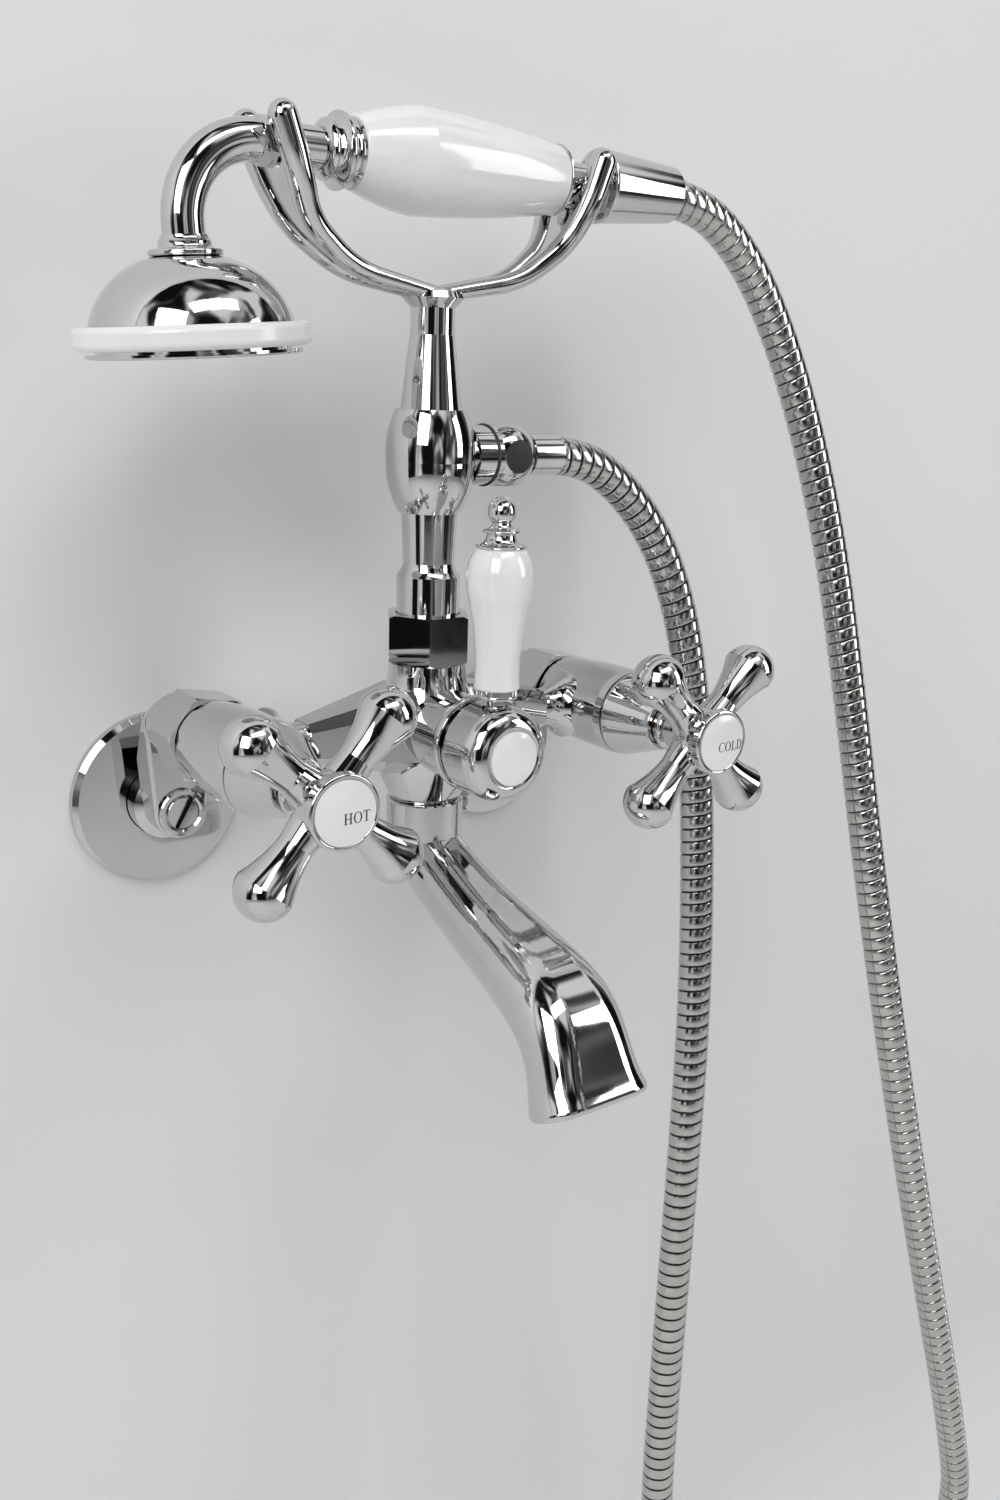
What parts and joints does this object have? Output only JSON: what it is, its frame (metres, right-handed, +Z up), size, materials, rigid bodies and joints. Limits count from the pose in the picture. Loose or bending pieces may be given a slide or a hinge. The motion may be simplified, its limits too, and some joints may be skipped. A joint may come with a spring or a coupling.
{
  "type": "bath faucet",
  "caption": "Wall-mounted chrome bath faucet with cross handles, lever diverter, curved spout and a telephone-style hand shower on a metal hose.",
  "frame": {"origin": "on the wall plane, half way between the two supply inlets", "axes": "+Y into the wall, +Z up, +X to the cold side, so the room is on the -Y side"},
  "size_m": [0.4051, 0.1797, 0.7201],
  "materials": {
    "chrome": "polished",
    "hose_metal": "polished, ribbed",
    "porcelain": "glossy white glaze",
    "ring_plastic": "glossy white",
    "face_plastic": "glossy white",
    "brass": "machined",
    "steel": "machined",
    "seal": "matte black"
  },
  "bodies": {
    "faucet": {"wall_flange_left": "chrome", "wall_flange_right": "chrome", "swing_arm_left": "chrome", "swing_arm_right": "chrome", "stop_ring_left": "chrome", "stop_ring_right": "chrome", "union_nut_left": "chrome", "union_nut_right": "chrome", "union_washers": "seal", "mixer_body": "chrome", "hot_cartridge": "brass", "cold_cartridge": "brass", "hot_bonnet": "chrome", "cold_bonnet": "chrome", "diverter_cartridge": "brass", "riser_nut": "chrome", "riser_washer": "seal", "riser_column": "chrome", "cradle": "chrome", "cradle_grub_screw": "steel", "outlet_nipple": "chrome", "outlet_seal": "seal", "outlet_elbow": "chrome", "hose_ferrule": "chrome", "shower_hose": "hose_metal", "spout_seal": "seal"},
    "hot_tap": {"hot_spindle": "brass", "hot_handle": "chrome", "hot_handle_screw": "steel", "hot_index_ring": "chrome", "hot_button": "porcelain"},
    "cold_tap": {"cold_spindle": "brass", "cold_handle": "chrome", "cold_handle_screw": "steel", "cold_index_ring": "chrome", "cold_button": "porcelain"},
    "diverter": {"diverter_spindle": "brass", "diverter_knob": "chrome", "diverter_button": "porcelain", "lever_stem": "chrome", "lever_grip": "porcelain", "lever_finial": "chrome"},
    "spout": {"spout": "chrome", "spout_grub_screw": "steel"},
    "hand_shower": {"handset_elbow": "chrome", "elbow_nut": "chrome", "handset_tube": "chrome", "grip_front_ring": "chrome", "handset_grip": "porcelain", "grip_rear_ring": "chrome", "handset_tail": "chrome", "hose_washer": "seal", "hose_cone_nut": "chrome", "bell_ring": "chrome", "spray_bell": "chrome", "spray_ring": "ring_plastic", "spray_face": "face_plastic"},
    "stop_valve_left": {"stop_screw_left": "chrome"},
    "stop_valve_right": {"stop_screw_right": "chrome"}
  },
  "joints": [
    {"name": "hot_tap_turn", "type": "hinge", "parent": "faucet", "child": "hot_tap", "pos_m": [-0.0762, -0.1312, 0.0338], "axis": [0, -1, 0], "range_deg": [0, 90]},
    {"name": "cold_tap_turn", "type": "hinge", "parent": "faucet", "child": "cold_tap", "pos_m": [0.0762, -0.1312, 0.0338], "axis": [0, 1, 0], "range_deg": [0, 90]},
    {"name": "diverter_turn", "type": "hinge", "parent": "faucet", "child": "diverter", "pos_m": [0, -0.1107, 0.0338], "axis": [0, 1, 0], "range_deg": [0, 60]},
    {"name": "spout_swivel", "type": "hinge", "parent": "faucet", "child": "spout", "pos_m": [0, -0.068, -0.002], "axis": [0, 0, 1], "range_deg": [-45, 45]},
    {"name": "hand_shower_lift", "type": "slide", "parent": "faucet", "child": "hand_shower", "axis": [0, 0, 1], "range_m": [0, 0.02], "deforming": ["shower_hose"]},
    {"name": "stop_valve_left_turn", "type": "hinge", "parent": "faucet", "child": "stop_valve_left", "pos_m": [-0.0762, -0.02, 0], "axis": [0, -1, 0], "range_deg": [0, 90]},
    {"name": "stop_valve_right_turn", "type": "hinge", "parent": "faucet", "child": "stop_valve_right", "pos_m": [0.0762, -0.02, 0], "axis": [0, -1, 0], "range_deg": [0, 90]}
  ]
}
